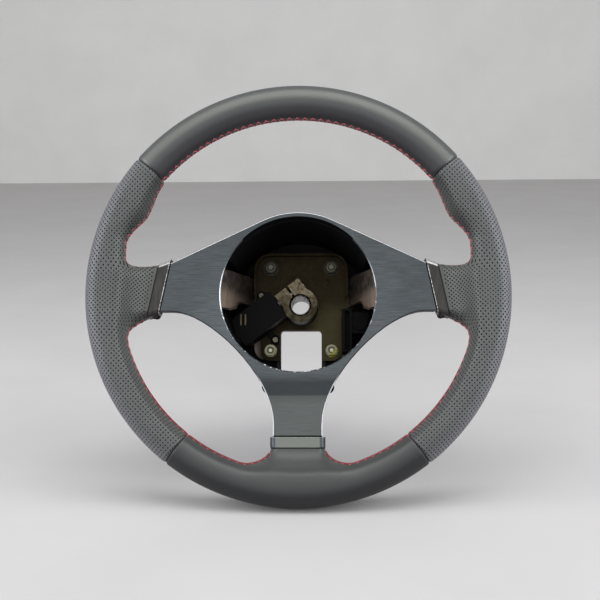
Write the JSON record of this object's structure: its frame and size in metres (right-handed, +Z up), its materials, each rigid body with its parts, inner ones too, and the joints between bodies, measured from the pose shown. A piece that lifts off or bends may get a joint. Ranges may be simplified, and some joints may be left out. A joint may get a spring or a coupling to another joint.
{
  "type": "car steering wheel",
  "caption": "Three-spoke leather-wrapped car steering wheel with thumb rests, a metal spoke bezel, an open round hub for the airbag module and a split clamp for the column shaft.",
  "frame": {"origin": "on the column axis, at the rear mouth of the clamp's bore", "axes": "+Y along the column axis away from the driver, +X to the driver's right, +Z up with the wheel straight ahead"},
  "size_m": [0.35, 0.1415, 0.35],
  "materials": {
    "arm_metal": "magnesium and steel armature, dull brown-grey",
    "foam": "moulded polyurethane foam",
    "leather_smooth": "smooth grained leather",
    "leather_perforated": "perforated grained leather",
    "bezel_metal": "brushed gunmetal",
    "clip_metal": "satin dark grey",
    "shroud_plastic": "matt black plastic",
    "screw_steel": "plain steel",
    "plate_steel": "oiled forged steel",
    "clamp_steel": "forged steel with light rust",
    "bolt_steel": "dull steel",
    "nut_steel": "dark phosphated steel",
    "bolt_zinc": "yellow zinc plate",
    "guide_plastic": "matt black plastic"
  },
  "bodies": {
    "root": {"armature": "arm_metal", "rim_ring": "arm_metal", "rim_foam": "foam", "leather_top": "leather_smooth", "leather_left": "leather_perforated", "leather_right": "leather_perforated", "leather_bottom": "leather_smooth", "spoke_bezel": "bezel_metal", "left_spoke_clip": "clip_metal", "right_spoke_clip": "clip_metal", "bottom_spoke_clip": "clip_metal", "rear_shroud": "shroud_plastic", "shroud_screws": "screw_steel", "hub_plate": "plate_steel", "column_clamp": "clamp_steel", "pinch_bolt": "bolt_steel", "upper_hub_nuts": "nut_steel", "lower_hub_bolts": "bolt_zinc", "lower_hub_washers": "bolt_zinc", "bolt_guide": "guide_plastic", "guide_screws": "bolt_zinc", "connector_housing": "guide_plastic", "horn_contact": "shroud_plastic", "contact_springs": "screw_steel"}
  },
  "joints": []
}
